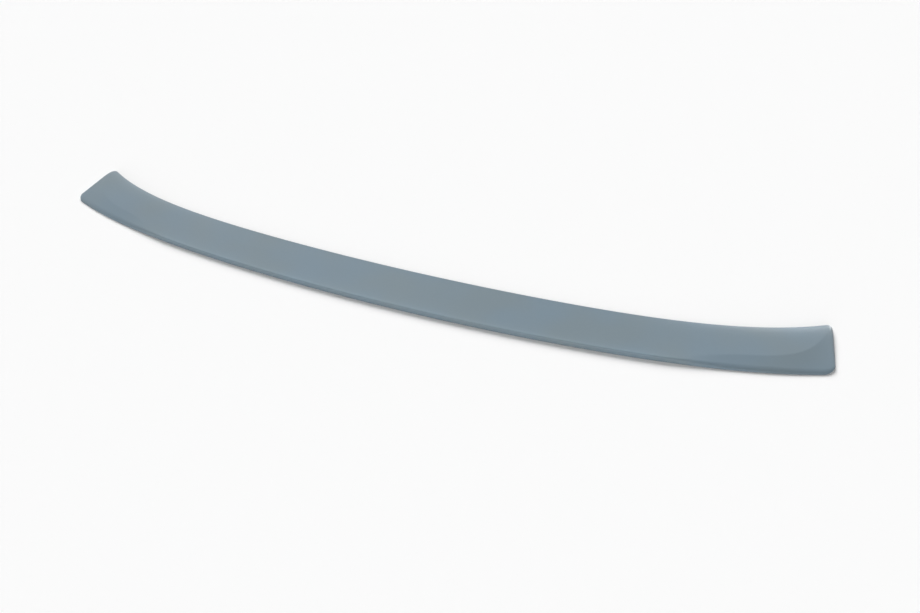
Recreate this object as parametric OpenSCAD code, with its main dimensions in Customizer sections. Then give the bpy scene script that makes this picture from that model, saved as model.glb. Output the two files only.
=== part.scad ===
// Trunk-lid lip spoiler, moulded in one solid piece and left in grey-blue primer.
// X runs along the lid from left to right, +Y points to the front of the car and +Z up.
// The origin is under the middle of the part's bounding box, on the plane that bonds to the lid.

/* [Plan] */
// Overall length from end to end
length = 1200; // [900:10:1400]
// Width from the front edge to the rear edge at the middle
mid_chord = 83.5; // [65:0.5:120]
// Width that the same two edges reach at the ends, before the corners are rounded
end_chord = 95.5; // [70:0.5:130]
// How far the rear edge sweeps forward from its middle to its ends
rear_bow = 74.5; // [30:0.5:110]
// Share of the rear edge's sweep that comes in the last stretch before the ends
rear_hook = 0.29; // [0:0.01:0.6]
// Share of the front edge's sweep that comes in the last stretch before the ends
front_hook = 0.46; // [0:0.01:0.6]
// Radius of the two front corners
front_corner_r = 9; // [4:1:20]
// Radius of the two rear corners
rear_corner_r = 15; // [6:1:28]

/* [Section] */
// Height of the crest along the rear edge
crest_h = 8; // [7:0.5:20]
// Height of the thin front edge
front_h = 2.5; // [2:0.1:4]
// Share of the rise that the top surface keeps for the kick up to the crest
kick = 0.22; // [0:0.01:0.5]
// Rounding along the crest between the two end facets
crest_r = 2; // [1:0.5:4]
// Rounding along the top of the front edge
front_r = 1.2; // [0.4:0.1:1.6]
// Lean of the rear face: how far the crest stands forward of the rear face's foot
rear_lean = 1; // [0:0.1:4]
// Bevel along the foot of the front edge and of the rear face
foot_bevel = 0.5; // [0.3:0.1:0.7]

/* [Ends] */
// Distance from the ends over which the front edge turns into a full rounded shoulder
shoulder_run = 330; // [100:10:400]
// Distance from the ends over which the sloping end facet opens from the crest
facet_run = 230; // [120:10:350]
// Width that the end facet reaches along the rear edge, as a share of the chord
facet_share = 0.27; // [0.1:0.01:0.45]
// Slope of the end facet, in millimetres of fall for each millimetre
facet_slope = 0.12; // [0.05:0.01:0.15]
// Rounding of the line between the top surface and the end facet
facet_blend = 1.5; // [1:0.5:10]
// Width of the longer and softer round that the crest takes over the end facets
crest_end_r = 7; // [2:0.5:12]
// Distance from the ends over which the top rolls down to them
end_roll = 5; // [2:0.5:12]

/* [Underside] */
// Width of the narrow rim round the flat land that bonds to the lid
rim_w = 2.5; // [2:0.1:4]
// Height of the rim above the land, so that the part's outer edge stays off the paint
rim_lift = 0.3; // [0.2:0.05:0.5]
// Width of the two channels for mounting tape
tape_w = 12; // [6:1:20]
// Depth of the tape channels
tape_depth = 0.9; // [0.4:0.1:1.2]
// Distance from each tape channel to the edge of the part that it follows
tape_gap = 9; // [7:0.5:15]
// Distance from the ends at which the tape channels stop
tape_end_gap = 45; // [30:1:120]

/* [Hidden] */

half = length / 2;
front_bow = rear_bow + end_chord - mid_chord;
// Powers of the gentle bow, of the hook before the ends, of the kick and of the shoulder
bow_power = 2;
hook_power = 6;
kick_power = 7;
shoulder_power = 10;
// Power with which the facet line runs round the end into the front corner
facet_turn = 25;
// The rounded top edges take at most this share of the height below them
roll_share = 0.55;

// Sections from the middle to each end
half_stations = 44;
// Steps from the crest to the facet line, and from there to the front edge
rear_steps = 14;
front_steps = 17;
// Limits between which the guiding line of the steps follows the facet line
guide_min = 0.3;
guide_max = 0.88;
// Stations from the middle to each end of the outlines on the underside
land_stations = 60;
// How far the flat land reaches up into the body, past the rim
land_bite = 0.7;
// How far the tape channels' cutters start below the land
cut_over = 1;

// Shape of a sweep: 0 in the middle and 1 at the ends, for a share of hook
function sweep(t, hook) = (1 - hook) * pow(t, bow_power) + hook * pow(t, hook_power);

// Smooth step from 0 to 1, and the quarter round of a corner or edge of radius r
function ease(a) = let (c = min(max(a, 0), 1)) c * c * (3 - 2 * c);
function quarter(depth, r) = let (c = min(max(r - depth, 0), r)) r - sqrt(r * r - c * c);

// Rear and front edges before the part is moved over its origin
function bare_rear(x) = rear_bow * sweep(abs(x) / half, rear_hook) - mid_chord
    + quarter(half - abs(x), rear_corner_r);
function bare_front(x) = front_bow * sweep(abs(x) / half, front_hook)
    - quarter(half - abs(x), front_corner_r);

// Places from end to end, closer and closer together towards the ends
function spread(reach, n) = [for (k = [-n:n]) reach * sin(90 * k / n)];
stations = spread(half, half_stations);

front_reach = max([for (x = stations) bare_front(x)]);
centre_y = (front_reach - mid_chord) / 2;
function rear_y(x) = bare_rear(x) - centre_y;
function front_y(x) = bare_front(x) - centre_y;
// The crest leans forward of the foot, and less so round the rear corners
function crest_y(x) = rear_y(x) + rear_lean * ease((half - abs(x)) / rear_corner_r);
function chord(x) = front_y(x) - crest_y(x);

// How far the front shoulder and the end facet have opened at a section
function shoulder(x) = ease((shoulder_run - half + abs(x)) / shoulder_run);
function facet_open(x) = ease((facet_run - half + abs(x)) / facet_run * 2);
// Place of the facet line across a section: 0 at the crest, 1 at the front edge
function facet_line(x) = facet_share * facet_open(x)
    + (1 - facet_share) * pow(abs(x) / half, facet_turn);
function facet_turn_rate(x) = (1 - facet_share) * facet_turn
    * pow(abs(x) / half, facet_turn - 1) * chord(x) / half;

// Rise of the top surface from the front edge, u = 0, to the crest, u = 1
function wedge_rise(u) = (1 - kick) * u + kick * pow(u, kick_power);
function shoulder_rise(u) = 1 - pow(1 - u, shoulder_power);
function rise(x, u) = let (k = shoulder(x)) (1 - k) * wedge_rise(u) + k * shoulder_rise(u);

// Fall of the end facet at v across a section, blended in over the facet line
function facet_fall(x, v) =
    let (d = (facet_line(x) - v) * chord(x) / sqrt(1 + pow(facet_turn_rate(x), 2)))
    facet_slope * (d + sqrt(d * d + facet_blend * facet_blend)) / 2 * facet_open(x);

// Height of the top before its edges are rounded
function body_z(x, v) = front_h + (crest_h - front_h) * rise(x, 1 - v) - facet_fall(x, v);

// Roll of the top edges along the crest, the front edge and the ends; a round that is wider
// than the height it may take becomes a quarter ellipse
function flat_quarter(depth, r, most) = quarter(depth, r) * min(1, most / r);
function crest_round(x) = crest_r + (crest_end_r - crest_r) * facet_open(x);
function edge_drop(x, v, z) = let (most = z * roll_share)
    max(flat_quarter(v * chord(x), crest_round(x), most),
        flat_quarter((1 - v) * chord(x), front_r, most),
        quarter(half - abs(x), end_roll) * most / end_roll);
function top_z(x, v) = let (z = body_z(x, v)) z - edge_drop(x, v, z);

// Steps across a section, close together at the crest, at the facet line and at the front
function guide(x) = min(max(facet_line(x), guide_min), guide_max);
function crowd(a) = (1 - cos(180 * a)) / 2;
function across(x) = let (g = guide(x)) concat(
    [for (j = [0:rear_steps - 1]) g * crowd(j / rear_steps)],
    [for (j = [0:front_steps]) g + (1 - g) * crowd(j / front_steps)]);

// Rim of the underside at a section, from the front edge to the rear edge, with both bevels
function rim(x) = let (yf = front_y(x), yr = rear_y(x))
    [[yf, rim_lift + foot_bevel], [yf - foot_bevel, rim_lift],
     [yr + foot_bevel, rim_lift], [yr, rim_lift + foot_bevel]];

// One closed section: over the top from the crest to the front edge, and back along the rim
function section(x) = concat(
    [for (v = across(x)) [x, crest_y(x) + v * chord(x), top_z(x, v)]],
    [for (p = rim(x)) [x, p[0], p[1]]]);

// Skin over a row of closed sections that have equally many points, with a fan on each end
module loft(sections, first_hub, last_hub) {
    rows = len(sections);
    n = len(sections[0]);
    hubs = rows * n;
    points = concat([for (s = sections) each s], [first_hub, last_hub]);
    faces = [
        for (i = [0:rows - 2], j = [0:n - 1]) let (a = i * n + j, b = i * n + (j + 1) % n)
            each [[a, b, b + n], [a, b + n, a + n]],
        for (j = [0:n - 1]) [(j + 1) % n, j, hubs],
        for (j = [0:n - 1]) let (a = (rows - 1) * n) [a + j, a + (j + 1) % n, hubs + 1]];
    polyhedron(points = points, faces = faces, convexity = 4);
}

module body() {
    hub_y = (rear_y(half) + front_y(half)) / 2;
    hub_z = rim_lift + foot_bevel + 1;
    loft([for (x = stations) section(x)], [-half, hub_y, hub_z], [half, hub_y, hub_z]);
}

// Line that follows the front edge, side = 1, or the rear edge, side = -1, set in by d
function follow(side, d, reach) = [for (x = spread(reach, land_stations))
    [x, side > 0 ? front_y(x) - d : rear_y(x) + d]];
function turned(line) = [for (k = [len(line) - 1:-1:0]) line[k]];

module land() {
    reach = half - rim_w;
    linear_extrude(height = rim_lift + land_bite)
        polygon(concat(follow(-1, rim_w, reach), turned(follow(1, rim_w, reach))));
}

module tape_channel(side) {
    reach = half - tape_end_gap;
    translate([0, 0, -cut_over])
        linear_extrude(height = cut_over + tape_depth)
            polygon(concat(follow(side, tape_gap, reach),
                turned(follow(side, tape_gap + tape_w, reach))));
}

module spoiler() {
    color([0.51, 0.58, 0.62])
        difference() {
            union() {
                body();
                land();
            }
            tape_channel(-1);
            tape_channel(1);
        }
}

spoiler();
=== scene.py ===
# Trunk-lid lip spoiler in matt grey-blue primer, lying on a pale studio floor.
import math

import bpy
import numpy as np
from mathutils import Matrix, Vector


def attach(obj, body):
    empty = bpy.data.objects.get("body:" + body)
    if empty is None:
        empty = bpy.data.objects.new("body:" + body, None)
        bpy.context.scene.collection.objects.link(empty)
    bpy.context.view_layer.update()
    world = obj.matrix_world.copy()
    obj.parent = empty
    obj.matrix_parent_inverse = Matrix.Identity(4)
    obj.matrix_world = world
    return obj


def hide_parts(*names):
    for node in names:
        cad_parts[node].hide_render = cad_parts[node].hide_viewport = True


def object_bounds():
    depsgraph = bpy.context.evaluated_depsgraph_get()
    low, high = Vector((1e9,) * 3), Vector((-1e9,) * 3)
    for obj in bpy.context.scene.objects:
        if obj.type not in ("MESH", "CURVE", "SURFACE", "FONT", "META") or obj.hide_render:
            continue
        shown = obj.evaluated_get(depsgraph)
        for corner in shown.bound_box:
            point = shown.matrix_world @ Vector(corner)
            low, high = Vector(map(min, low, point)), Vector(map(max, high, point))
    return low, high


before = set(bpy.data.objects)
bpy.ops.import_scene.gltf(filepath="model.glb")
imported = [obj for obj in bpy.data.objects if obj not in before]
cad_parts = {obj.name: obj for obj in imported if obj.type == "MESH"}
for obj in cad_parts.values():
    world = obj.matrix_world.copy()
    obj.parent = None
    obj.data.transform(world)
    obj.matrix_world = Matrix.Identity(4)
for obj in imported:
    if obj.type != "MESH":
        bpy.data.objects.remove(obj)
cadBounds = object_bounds()
print("frame loaded, CAD box", [[round(c, 4) for c in corner] for corner in cadBounds])

# the photo's view: the aim is the point of the floor in the middle of the picture
cameraSet = {
    "aim": (0.1066, -0.0463, 0.0),
    "distance": 0.9373,
    "azimuth": 19.35,  # degrees, 0 looks along +Y
    "elevation": 43.11,
    "lens": 25.94,  # mm on a 36 mm wide sensor
}


def placeCamera(spec):
    # back points from the aim to the camera, right lies level, up closes the frame
    az, el = math.radians(spec["azimuth"]), math.radians(spec["elevation"])
    back = Vector((math.sin(az) * math.cos(el), -math.cos(az) * math.cos(el), math.sin(el)))
    right = Vector((math.cos(az), math.sin(az), 0))
    up = back.cross(right)
    data = bpy.data.cameras.new("photoCamera")
    data.lens = spec["lens"]
    data.sensor_width = 36
    data.clip_start = 0.01
    camera = bpy.data.objects.new("photoCamera", data)
    turn = Matrix((right, up, back)).transposed().to_4x4()
    camera.matrix_world = Matrix.Translation(Vector(spec["aim"]) + spec["distance"] * back) @ turn
    bpy.context.collection.objects.link(camera)
    bpy.context.scene.camera = camera


placeCamera(cameraSet)
print("camera placed")

# all lengths of the shape in millimetres; the mesh is written in metres
spoilerSet = {
    "length": 1200,
    "midChord": 83.5,  # width from the front edge to the rear edge at the middle
    "endChord": 95.5,
    "rearBow": 74.5,  # forward sweep of the rear edge from its middle to its ends
    "rearHook": 0.29,  # share of the sweep that comes in the last stretch
    "frontHook": 0.46,
    "frontCornerR": 9,
    "rearCornerR": 15,
    "crestH": 8,
    "frontH": 2.5,
    "kick": 0.22,  # share of the rise kept for the kick up to the crest
    "crestR": 2,
    "crestEndR": 7,  # width of the softer round that the crest takes over the end facets
    "frontR": 1.2,
    "rearLean": 1,
    "footBevel": 0.5,
    "shoulderRun": 330,
    "facetRun": 230,
    "facetShare": 0.27,
    "facetSlope": 0.12,
    "facetBlend": 1.5,
    "endRoll": 5,
    "rimW": 2.5,
    "rimLift": 0.3,
    "tapeW": 12,
    "tapeDepth": 0.9,
    "tapeGap": 9,
    "tapeEndGap": 45,
    "hookPower": 6,
    "kickPower": 7,
    "shoulderPower": 10,
    "facetTurn": 25,  # how late the facet line runs round into the front corner
    "rollShare": 0.55,  # most of the height that a rounded edge may take
    "columns": 420,  # sections from end to end
    "rearRows": 60,  # steps from the crest to the facet line
    "frontRows": 78,  # steps from the facet line to the front edge
    "wallRows": 6,  # steps down the rear face
    "wall": 0.08,  # slant of the steps in the underside
    "cadSteps": 88,  # sections of the CAD from end to end, which set where its middle lies
    "guideFrom": 0.3,  # the crowded rows follow the facet line between these shares of the width
    "guideTo": 0.88,
    "hubLift": 1,  # height of the end fans' middles over the foot bevel
    "sharpAngle": 38,  # degrees from which an edge of the mesh is shaded sharp
    "highlightRun": 4.5,  # width of the painted highlight band along the crest, partly rubbed primer
    "rimHighlight": 0.5,  # how far front edge and ends are painted lighter as a highlight, as a share of the crest
    # painted light: the whole rear face is painted lighter by this share
    "paintedFaceLight": 0.35,
    # painted highlight at the middles of the end fans
    "hubHighlight": 0.2,
}


def easeStep(a):
    # smooth step: 3a^2 - 2a^3 between 0 and 1
    c = np.clip(a, 0, 1)
    return c * c * (3 - 2 * c)


def quarterRound(depth, r):
    # drop of a quarter circle of radius r at a distance depth in from its edge
    c = np.clip(r - depth, 0, r)
    return r - np.sqrt(np.maximum(r * r - c * c, 0))


def spread(reach, n):
    # n + 1 places from -reach to reach, closer together towards both ends
    return reach * np.sin(np.linspace(-np.pi / 2, np.pi / 2, n + 1))


def toEnd(x, s):
    return s["length"] / 2 - np.abs(x)


def sweepShape(x, s, hook):
    # share of the sweep: a parabola and a late hook with a high power, 0 in the middle, 1 at the ends
    t = np.abs(x) / (s["length"] / 2)
    return (1 - hook) * t**2 + hook * t ** s["hookPower"]


def bareRear(x, s):
    corner = quarterRound(toEnd(x, s), s["rearCornerR"])
    return s["rearBow"] * sweepShape(x, s, s["rearHook"]) - s["midChord"] + corner


def bareFront(x, s):
    bow = s["rearBow"] + s["endChord"] - s["midChord"]
    corner = quarterRound(toEnd(x, s), s["frontCornerR"])
    return bow * sweepShape(x, s, s["frontHook"]) - corner


def planLines(x, s):
    # rear foot, crest and front edge of each section, centred over the origin
    centre = (bareFront(spread(s["length"] / 2, s["cadSteps"]), s).max() - s["midChord"]) / 2
    rear = bareRear(x, s) - centre
    crest = rear + s["rearLean"] * easeStep(toEnd(x, s) / s["rearCornerR"])
    return rear, crest, bareFront(x, s) - centre


def facetLine(x, s):
    # place of the facet line across a section, and how far the facet has opened there
    opened = easeStep((1 - toEnd(x, s) / s["facetRun"]) * 2)
    t = np.abs(x) / (s["length"] / 2)
    return s["facetShare"] * opened + (1 - s["facetShare"]) * t ** s["facetTurn"], opened


def topHeight(x, v, chord, s):
    # wedge that rises from the front edge to the crest, mixed with a rounded shoulder near the
    # ends, less the fall of the end facet beyond its line, less the quarter rounds of the edges
    u = 1 - v
    wedge = (1 - s["kick"]) * u + s["kick"] * u ** s["kickPower"]
    shoulder = 1 - v ** s["shoulderPower"]
    k = easeStep(1 - toEnd(x, s) / s["shoulderRun"])
    rise = (1 - k) * wedge + k * shoulder
    line, opened = facetLine(x, s)
    t = np.abs(x) / (s["length"] / 2)
    turn = (1 - s["facetShare"]) * s["facetTurn"] * t ** (s["facetTurn"] - 1) * chord
    d = (line - v) * chord / np.sqrt(1 + (turn / (s["length"] / 2)) ** 2)
    fall = s["facetSlope"] * (d + np.sqrt(d * d + s["facetBlend"] ** 2)) / 2 * opened
    z = s["frontH"] + (s["crestH"] - s["frontH"]) * rise - fall
    most = z * s["rollShare"]
    # a round that is wider than the height it may take becomes a quarter ellipse
    crestRound = s["crestR"] + (s["crestEndR"] - s["crestR"]) * opened
    crestDrop = quarterRound(v * chord, crestRound) * np.minimum(1, most / crestRound)
    frontDrop = quarterRound(u * chord, s["frontR"]) * np.minimum(1, most / s["frontR"])
    endDrop = quarterRound(toEnd(x, s), s["endRoll"]) * most / s["endRoll"]
    return z - np.maximum(np.maximum(crestDrop, frontDrop), endDrop)


def acrossSteps(x, s):
    # steps from crest to front edge, crowded by half a cosine at the crest, facet line and front
    guide = np.clip(facetLine(x, s)[0], s["guideFrom"], s["guideTo"])[:, None]
    rear = (1 - np.cos(np.pi * np.arange(s["rearRows"]) / s["rearRows"])) / 2
    front = (1 - np.cos(np.pi * np.arange(s["frontRows"] + 1) / s["frontRows"])) / 2
    return np.hstack([guide * rear, guide + (1 - guide) * front])


def undersideLoop(x, rear, front, s):
    # from the front foot to the rear foot: bevel, rim, flat land with two tape channels, rim, bevel;
    # the land and the channels fade back to the rim past their own ends
    land = (toEnd(x, s) >= s["rimW"] - 1e-6).astype(float)
    tape = (toEnd(x, s) >= s["tapeEndGap"] - 1e-6).astype(float)
    bevel = np.where(toEnd(x, s) > 0.01, 0, s["footBevel"])
    rimZ, landZ = s["rimLift"] + bevel, s["rimLift"] * (1 - land)
    tapeZ = landZ + s["tapeDepth"] * tape
    near, far, w = s["tapeGap"], s["tapeGap"] + s["tapeW"], s["wall"]
    side = [
        (0, s["rimLift"] + s["footBevel"] + 0 * x),
        (s["footBevel"], rimZ),
        (s["rimW"], rimZ),
        (s["rimW"] + w, np.minimum(rimZ, landZ + bevel)),
        (near, landZ + bevel),
        (near + w, tapeZ + bevel),
        (far - w, tapeZ + bevel),
        (far, landZ + bevel),
    ]
    loop = [np.stack([x, front - d, z], -1) for d, z in side]
    loop += [np.stack([x, rear + d, z], -1) for d, z in reversed(side)]
    return np.stack(loop, 1)


def rearFace(x, rear, crest, topZ, s):
    # straight steps up the leaning rear face, from the bevel to the start of the crest's round
    a = np.linspace(0, 1, s["wallRows"] + 1)[1:-1]
    foot = s["rimLift"] + s["footBevel"]
    y = rear[:, None] + (crest - rear)[:, None] * a
    z = foot + (topZ - foot)[:, None] * a
    return np.stack([np.broadcast_to(x[:, None], y.shape), y, z], -1)


def sectionPlaces(s):
    # sections spread along the part, with extra ones at the ends of the land and of the channels
    half = s["length"] / 2
    marks = [half - s["rimW"], half - s["tapeEndGap"]]
    extra = [sign * (m + step) for m in marks for step in (0, s["wall"]) for sign in (-1, 1)]
    return np.unique(np.concatenate([spread(half, s["columns"]), extra]))


def makeSpoiler(s):
    x = sectionPlaces(s)
    rear, crest, front = planLines(x, s)
    chord = (front - crest)[:, None]
    v = acrossSteps(x, s)
    xGrid = np.broadcast_to(x[:, None], v.shape)
    z = topHeight(xGrid, v, chord, s)
    top = np.stack([xGrid, crest[:, None] + v * chord, z], -1)
    under = undersideLoop(x, rear, front, s)
    back = rearFace(x, rear, crest, z[:, 0], s)
    loops = np.concatenate([top, under, back], 1)  # one closed loop for each section
    rows, n = loops.shape[:2]
    hubs = loops[[0, -1]].mean(1)
    hubs[:, 2] = s["rimLift"] + s["footBevel"] + s["hubLift"]
    points = np.concatenate([loops.reshape(-1, 3), hubs]) * 0.001
    # the finer mesh bulges a hair past the CAD's facets, so it is drawn in to the CAD's box
    points *= np.minimum(1, np.abs(cadBounds).max(0) / np.abs(points).max(0))

    # quads between neighbouring sections, and a fan on each end
    i, j = np.meshgrid(np.arange(rows - 1), np.arange(n), indexing="ij")
    a, b = i * n + j, i * n + (j + 1) % n
    quads = np.stack([a, a + n, b + n, b], -1).reshape(-1, 4)
    k = np.arange(n)
    last = (rows - 1) * n
    fans = [np.stack([k, (k + 1) % n, np.full(n, rows * n)], -1)]
    fans += [np.stack([last + (k + 1) % n, last + k, np.full(n, rows * n + 1)], -1)]
    fans = np.concatenate(fans)

    mesh = bpy.data.meshes.new("spoilerSkin")
    mesh.from_pydata(points.tolist(), [], quads.tolist() + fans.tolist())
    mesh.polygons.foreach_set("use_smooth", np.ones(len(mesh.polygons), bool))
    mesh.set_sharp_from_angle(angle=math.radians(s["sharpAngle"]))

    # nearness to an edge, a bell curve of the distance, for a painted highlight there, partly rubbed
    # primer: a broad band along the crest that fades out on the end facets, a narrow one on front edge and
    # ends
    along = np.exp(-((v * chord / s["highlightRun"]) ** 2)) * (1 - facetLine(x, s)[1][:, None])
    rimNear = np.minimum((1 - v) * chord, toEnd(xGrid, s)) / s["crestR"]
    rim = s["rimHighlight"] * np.exp(-(rimNear**2))
    paintedLightAndRubWeight = np.zeros((rows, n))
    paintedLightAndRubWeight[:, : v.shape[1]] = np.maximum(along, rim)
    # painted light: the whole rear face is painted lighter
    paintedLightAndRubWeight[:, v.shape[1] + under.shape[1] :] = s["paintedFaceLight"]
    layer = mesh.attributes.new("paintedLightAndRub", "FLOAT", "POINT")
    layer.data.foreach_set("value", np.concatenate([paintedLightAndRubWeight.ravel(), [s["hubHighlight"]] * 2]))

    # the underside's faces take the second material
    below = (j >= v.shape[1]) & (j < v.shape[1] + under.shape[1] - 2)
    index = np.zeros(len(mesh.polygons), np.int32)
    index[: below.size] = below.ravel()
    mesh.polygons.foreach_set("material_index", index)
    mesh.validate()

    piece = bpy.data.objects.new("spoilerSkin", mesh)
    bpy.context.collection.objects.link(piece)
    return piece


spoiler = makeSpoiler(spoilerSet)
print("spoiler skin:", len(spoiler.data.polygons), "faces")

# two coats: the full one on top, a leaner one over the darker moulding on the underside
primerSet = {
    "color": (0.172, 0.234, 0.282, 1),
    "driftColor": (0.177, 0.229, 0.260, 1),  # greyer shade that the coat drifts to in patches
    "thinColor": (0.131, 0.167, 0.189, 1),
    "thinDrift": (0.150, 0.168, 0.176, 1),
    "roughness": 0.42,
    "specular": 0.36,
    "mottleScale": 3.5,
    "speckleScale": 60.0,  # the speckle and the drift, as multiples of the cloud's scale
    "driftScale": 3.0,
    "speckle": 0.35,  # strength of the speckle beside the cloud
    "driftFrom": 0.3,
    "driftTo": 0.7,
    "dryGloss": 0.8,  # how much smoother the lighter patches are
    "mottle": 0.05,
    "thinMottle": 0.16,
    "grainScale": 1400,
    "peelScale": 0.12,  # the orange peel, as a multiple of the grain's scale
    "grain": 0.05,
    "thinGrain": 0.2,
    # strength of the painted highlight on the edges and the painted light on the rear face, partly rubbed
    # primer
    "highlightAndRub": 0.16,
    "bumpDepth": 0.0002,
}


def newGroup(name, inputs, outputs):
    tree = bpy.data.node_groups.new(name, "ShaderNodeTree")
    for label, kind, value in inputs:
        socket = tree.interface.new_socket(label, in_out="INPUT", socket_type=kind)
        socket.default_value = value
    for label, kind in outputs:
        tree.interface.new_socket(label, in_out="OUTPUT", socket_type=kind)
    return tree, tree.nodes.new("NodeGroupInput"), tree.nodes.new("NodeGroupOutput")


def mathNode(tree, kind, first, second):
    node = tree.nodes.new("ShaderNodeMath")
    node.operation = kind
    for socket, value in zip(node.inputs, (first, second)):
        if hasattr(value, "links"):
            tree.links.new(value, socket)
        else:
            socket.default_value = value
    return node.outputs[0]


def makeSprayGroup(s):
    # color times 1 + 2 * amount * (cloud + speckle less their mean) + a painted highlight: its strength
    # times the weight painted lighter near edges and on the rear face; the color itself drifts to a second
    # shade with a smooth step of its own noise
    tree, given, out = newGroup(
        "sprayedCoat",
        [
            ("Color", "NodeSocketColor", (0.2, 0.3, 0.35, 1)),
            ("Drift Color", "NodeSocketColor", (0.2, 0.32, 0.34, 1)),
            ("Scale", "NodeSocketFloat", 4.0),
            ("Amount", "NodeSocketFloat", 0.05),
            ("Highlight And Rub", "NodeSocketFloat", 0.1),
            ("Roughness", "NodeSocketFloat", 0.6),
        ],
        [("Color", "NodeSocketColor"), ("Roughness", "NodeSocketFloat")],
    )
    place = tree.nodes.new("ShaderNodeTexCoord")
    cloud = tree.nodes.new("ShaderNodeTexNoise")
    cloud.inputs["Detail"].default_value = 3
    speckle = tree.nodes.new("ShaderNodeTexNoise")
    speckle.inputs["Detail"].default_value = 2
    tree.links.new(place.outputs["Object"], cloud.inputs["Vector"])
    tree.links.new(place.outputs["Object"], speckle.inputs["Vector"])
    tree.links.new(given.outputs["Scale"], cloud.inputs["Scale"])
    fine = mathNode(tree, "MULTIPLY", given.outputs["Scale"], s["speckleScale"])
    tree.links.new(fine, speckle.inputs["Scale"])
    small = mathNode(tree, "MULTIPLY", speckle.outputs["Fac"], s["speckle"])
    mean = (1 + s["speckle"]) / 2
    centred = mathNode(tree, "SUBTRACT", mathNode(tree, "ADD", cloud.outputs["Fac"], small), mean)
    swing = mathNode(tree, "MULTIPLY", mathNode(tree, "MULTIPLY", centred, 2.0), given.outputs["Amount"])
    # painted highlight and painted light: the colour is lifted by this weight near edges and on the rear
    # face
    edge = tree.nodes.new("ShaderNodeAttribute")
    edge.attribute_name = "paintedLightAndRub"
    highlightedAndRubbed = mathNode(tree, "MULTIPLY", edge.outputs["Fac"], given.outputs["Highlight And Rub"])
    gain = mathNode(tree, "ADD", mathNode(tree, "ADD", swing, highlightedAndRubbed), 1.0)
    drift = tree.nodes.new("ShaderNodeTexNoise")
    drift.inputs["Detail"].default_value = 1
    tree.links.new(place.outputs["Object"], drift.inputs["Vector"])
    slow = mathNode(tree, "MULTIPLY", given.outputs["Scale"], s["driftScale"])
    tree.links.new(slow, drift.inputs["Scale"])
    step = tree.nodes.new("ShaderNodeMapRange")
    step.interpolation_type = "SMOOTHSTEP"
    step.inputs["From Min"].default_value = s["driftFrom"]
    step.inputs["From Max"].default_value = s["driftTo"]
    tree.links.new(drift.outputs["Fac"], step.inputs["Value"])
    blend = tree.nodes.new("ShaderNodeMix")
    blend.data_type = "RGBA"
    tree.links.new(step.outputs["Result"], blend.inputs["Factor"])
    tree.links.new(given.outputs["Color"], blend.inputs[6])
    tree.links.new(given.outputs["Drift Color"], blend.inputs[7])
    scaled = tree.nodes.new("ShaderNodeVectorMath")
    scaled.operation = "SCALE"
    tree.links.new(blend.outputs[2], scaled.inputs[0])
    tree.links.new(gain, scaled.inputs["Scale"])
    tree.links.new(scaled.outputs[0], out.inputs["Color"])
    # the lighter, drier patches of the coat are a little smoother
    gloss = mathNode(tree, "MULTIPLY", swing, s["dryGloss"])
    rough = mathNode(tree, "SUBTRACT", given.outputs["Roughness"], gloss)
    tree.links.new(rough, out.inputs["Roughness"])
    return tree


def makeGrainGroup(s):
    # height of the primer's fine grain over a slower orange peel
    tree, given, out = newGroup(
        "primerGrain",
        [("Scale", "NodeSocketFloat", 1400.0), ("Peel", "NodeSocketFloat", 0.5)],
        [("Height", "NodeSocketFloat")],
    )
    place = tree.nodes.new("ShaderNodeTexCoord")
    grain = tree.nodes.new("ShaderNodeTexNoise")
    grain.inputs["Detail"].default_value = 2
    peel = tree.nodes.new("ShaderNodeTexNoise")
    for node in (grain, peel):
        tree.links.new(place.outputs["Object"], node.inputs["Vector"])
    tree.links.new(given.outputs["Scale"], grain.inputs["Scale"])
    coarse = mathNode(tree, "MULTIPLY", given.outputs["Scale"], s["peelScale"])
    tree.links.new(coarse, peel.inputs["Scale"])
    slow = mathNode(tree, "MULTIPLY", peel.outputs["Fac"], given.outputs["Peel"])
    tree.links.new(mathNode(tree, "ADD", grain.outputs["Fac"], slow), out.inputs["Height"])
    return tree


sprayedCoat = makeSprayGroup(primerSet)
primerGrain = makeGrainGroup(primerSet)


def primerMaterial(name, color, drift, mottle, highlightAndRub, grain, s):
    material = bpy.data.materials.new(name)
    material.use_nodes = True
    tree = material.node_tree
    shader = tree.nodes["Principled BSDF"]
    coat = tree.nodes.new("ShaderNodeGroup")
    coat.node_tree = sprayedCoat
    coat.inputs["Color"].default_value = color
    coat.inputs["Drift Color"].default_value = drift
    coat.inputs["Scale"].default_value = s["mottleScale"]
    coat.inputs["Amount"].default_value = mottle
    coat.inputs["Highlight And Rub"].default_value = highlightAndRub
    coat.inputs["Roughness"].default_value = s["roughness"]
    rough = tree.nodes.new("ShaderNodeGroup")
    rough.node_tree = primerGrain
    rough.inputs["Scale"].default_value = s["grainScale"]
    bump = tree.nodes.new("ShaderNodeBump")
    bump.inputs["Strength"].default_value = grain
    bump.inputs["Distance"].default_value = s["bumpDepth"]
    shader.inputs["Specular IOR Level"].default_value = s["specular"]
    tree.links.new(coat.outputs["Color"], shader.inputs["Base Color"])
    tree.links.new(coat.outputs["Roughness"], shader.inputs["Roughness"])
    tree.links.new(rough.outputs["Height"], bump.inputs["Height"])
    tree.links.new(bump.outputs["Normal"], shader.inputs["Normal"])
    return material


def dressSpoiler(s):
    coats = [
        primerMaterial("primerCoat", s["color"], s["driftColor"], s["mottle"], s["highlightAndRub"], s["grain"], s),
        primerMaterial("thinPrimer", s["thinColor"], s["thinDrift"], s["thinMottle"], 0, s["thinGrain"], s),
    ]
    for coat in coats:
        spoiler.data.materials.append(coat)
    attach(spoiler, "root")
    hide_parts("spoiler")


dressSpoiler(primerSet)
print("primer laid on")

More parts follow.
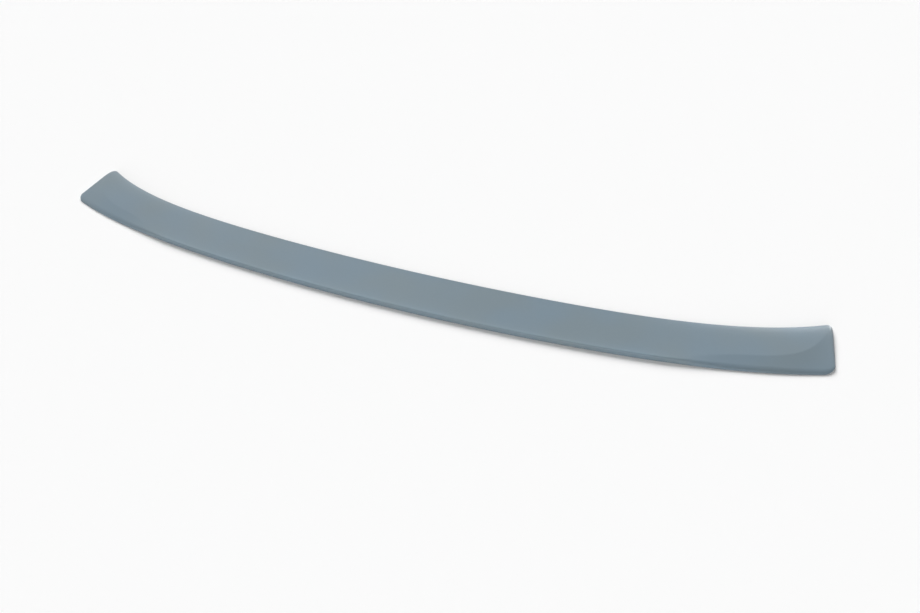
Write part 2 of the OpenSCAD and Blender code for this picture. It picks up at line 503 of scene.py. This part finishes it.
# pale floor, a soft key from behind on the left, a low rim light from behind on the right that
# glints along the front shoulder, a weak fill from the camera's side
studioSet = {
    "floorSize": 40,
    "floorColor": (0.90, 0.90, 0.90, 1),
    "floorRoughness": 0.9,
    "floorDrop": 1e-4,  # hair of air under the part
    "floorGlow": 0.08,  # brings the lit floor up to white for the camera
    "keyFrom": (-0.55, 0.84),  # towards the lamp, seen from above
    "keyHeight": 35,  # degrees over the floor
    "keyStrength": 3.95,
    "keySoftness": 36,
    "rimFrom": (0.35, 0.94),
    "rimHeight": 4,
    "rimStrength": 1.35,
    "rimSoftness": 15,
    "fillFrom": (-0.05, -1.0),
    "fillHeight": 8,
    "fillStrength": 2.1,
    "fillSoftness": 45,
    "lampReach": 3,  # metres from the part, for show only: a sun shines the same from anywhere
    "roomLight": 0.15,
    "roomShown": 0.965,  # as white as the lit floor, so no horizon shows between them
}


def seenByEye(tree):
    # 1 for camera, glossy and transmission rays
    path = tree.nodes.new("ShaderNodeLightPath")
    seen = mathNode(tree, "MAXIMUM", path.outputs["Is Camera Ray"], path.outputs["Is Glossy Ray"])
    return mathNode(tree, "MAXIMUM", seen, path.outputs["Is Transmission Ray"])


def makeFloor(s):
    mesh = bpy.data.meshes.new("studioFloor")
    r, z = s["floorSize"] / 2, -s["floorDrop"]
    mesh.from_pydata([(-r, -r, z), (r, -r, z), (r, r, z), (-r, r, z)], [], [(0, 1, 2, 3)])
    floor = bpy.data.objects.new("studioFloor", mesh)
    bpy.context.collection.objects.link(floor)
    material = bpy.data.materials.new("paleFloor")
    material.use_nodes = True
    tree = material.node_tree
    shader = tree.nodes["Principled BSDF"]
    shader.inputs["Base Color"].default_value = s["floorColor"]
    shader.inputs["Roughness"].default_value = s["floorRoughness"]
    shader.inputs["Specular IOR Level"].default_value = 0
    shader.inputs["Emission Color"].default_value = (1, 1, 1, 1)
    glow = mathNode(tree, "MULTIPLY", seenByEye(tree), s["floorGlow"])
    tree.links.new(glow, shader.inputs["Emission Strength"])
    mesh.materials.append(material)


def makeLamp(name, s, glints=True, shades=True):
    high = math.radians(s[name + "Height"])
    flat = Vector(s[name + "From"]).normalized() * math.cos(high)
    toLamp = Vector((flat.x, flat.y, math.sin(high)))
    data = bpy.data.lights.new(name + "Lamp", "SUN")
    data.energy = s[name + "Strength"]
    data.angle = math.radians(s[name + "Softness"])
    lamp = bpy.data.objects.new(name + "Lamp", data)
    lamp.visible_glossy = glints
    lamp.visible_diffuse = shades
    turn = toLamp.to_track_quat("Z", "Y").to_matrix().to_4x4()
    lamp.matrix_world = Matrix.Translation(toLamp * s["lampReach"]) @ turn
    bpy.context.collection.objects.link(lamp)


def makeRoom(s):
    # the room gives its light to the part, and shows in the white of the lit floor to the camera
    world = bpy.data.worlds.new("paleRoom")
    bpy.context.scene.world = world
    world.use_nodes = True
    tree = world.node_tree
    room = tree.nodes["Background"]
    room.inputs["Color"].default_value = (1, 1, 1, 1)
    room.inputs["Strength"].default_value = s["roomLight"]
    white = tree.nodes.new("ShaderNodeBackground")
    white.inputs["Color"].default_value = (1, 1, 1, 1)
    white.inputs["Strength"].default_value = s["roomShown"]
    mix = tree.nodes.new("ShaderNodeMixShader")
    tree.links.new(seenByEye(tree), mix.inputs["Fac"])
    tree.links.new(room.outputs[0], mix.inputs[1])
    tree.links.new(white.outputs[0], mix.inputs[2])
    tree.links.new(mix.outputs[0], tree.nodes["World Output"].inputs["Surface"])


def lightStudio(s):
    makeFloor(s)
    makeLamp("key", s, glints=False)  # a wide sheet of light, with no glint of its own
    makeLamp("rim", s, shades=False)  # gives nothing but its glint
    makeLamp("fill", s)
    makeRoom(s)


lightStudio(studioSet)
bpy.context.scene.view_settings.view_transform = "Standard"
print("floor and light set")
